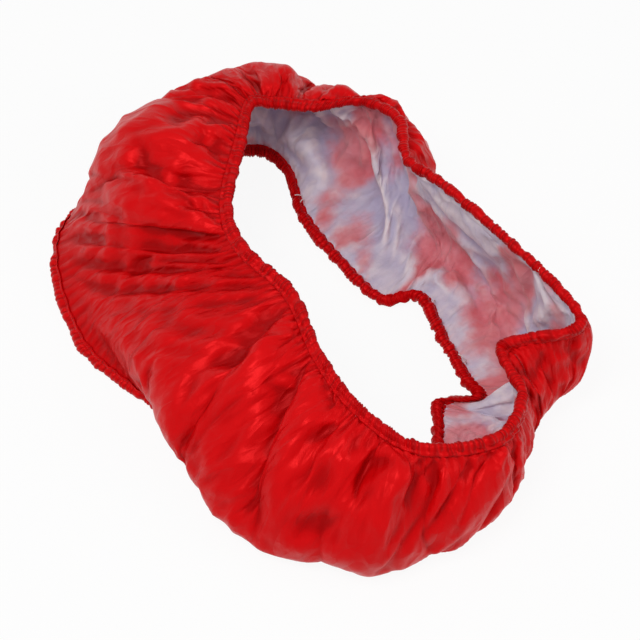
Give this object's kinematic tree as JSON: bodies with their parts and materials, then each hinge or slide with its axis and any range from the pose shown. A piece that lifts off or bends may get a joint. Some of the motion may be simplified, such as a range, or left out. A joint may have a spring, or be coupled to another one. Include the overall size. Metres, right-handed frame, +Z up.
{
  "type": "kayak spray skirt",
  "caption": "Gathered ring of red coated cloth with a pale lining and an elastic cord in each hem, lying open; stretched round a kayak cockpit rim and the paddler's waist to keep spray out.",
  "frame": {"origin": "middle of the base, on the floor that the skirt lies on", "axes": "+X along the length of the loop to its front end, +Y to its left side, +Z up"},
  "size_m": [0.611, 0.452, 0.1468],
  "materials": {
    "shell_panel_left": "silky coated nylon",
    "shell_panel_right": "silky coated nylon",
    "lining_panel_left": "thin see-through lining",
    "lining_panel_right": "thin see-through lining",
    "upper_hem_casing": "silky coated nylon",
    "lower_hem_casing": "silky coated nylon",
    "upper_elastic_cord": "braided elastic",
    "lower_elastic_cord": "braided elastic",
    "upper_elastic_join": "plain",
    "lower_elastic_join": "plain",
    "upper_hem_outer_thread": "sewing thread",
    "upper_hem_inner_thread": "sewing thread",
    "lower_hem_outer_thread": "sewing thread",
    "lower_hem_inner_thread": "sewing thread",
    "front_seam_thread": "sewing thread",
    "front_lining_seam_thread": "sewing thread",
    "rear_seam_thread": "sewing thread",
    "rear_lining_seam_thread": "sewing thread"
  },
  "bodies": {
    "root": {"shell_panel_left": "shell_panel_left", "shell_panel_right": "shell_panel_right", "lining_panel_left": "lining_panel_left", "lining_panel_right": "lining_panel_right", "upper_hem_casing": "upper_hem_casing", "lower_hem_casing": "lower_hem_casing", "upper_elastic_cord": "upper_elastic_cord", "lower_elastic_cord": "lower_elastic_cord", "upper_elastic_join": "upper_elastic_join", "lower_elastic_join": "lower_elastic_join", "upper_hem_outer_thread": "upper_hem_outer_thread", "upper_hem_inner_thread": "upper_hem_inner_thread", "lower_hem_outer_thread": "lower_hem_outer_thread", "lower_hem_inner_thread": "lower_hem_inner_thread", "front_seam_thread": "front_seam_thread", "front_lining_seam_thread": "front_lining_seam_thread", "rear_seam_thread": "rear_seam_thread", "rear_lining_seam_thread": "rear_lining_seam_thread"}
  },
  "joints": []
}
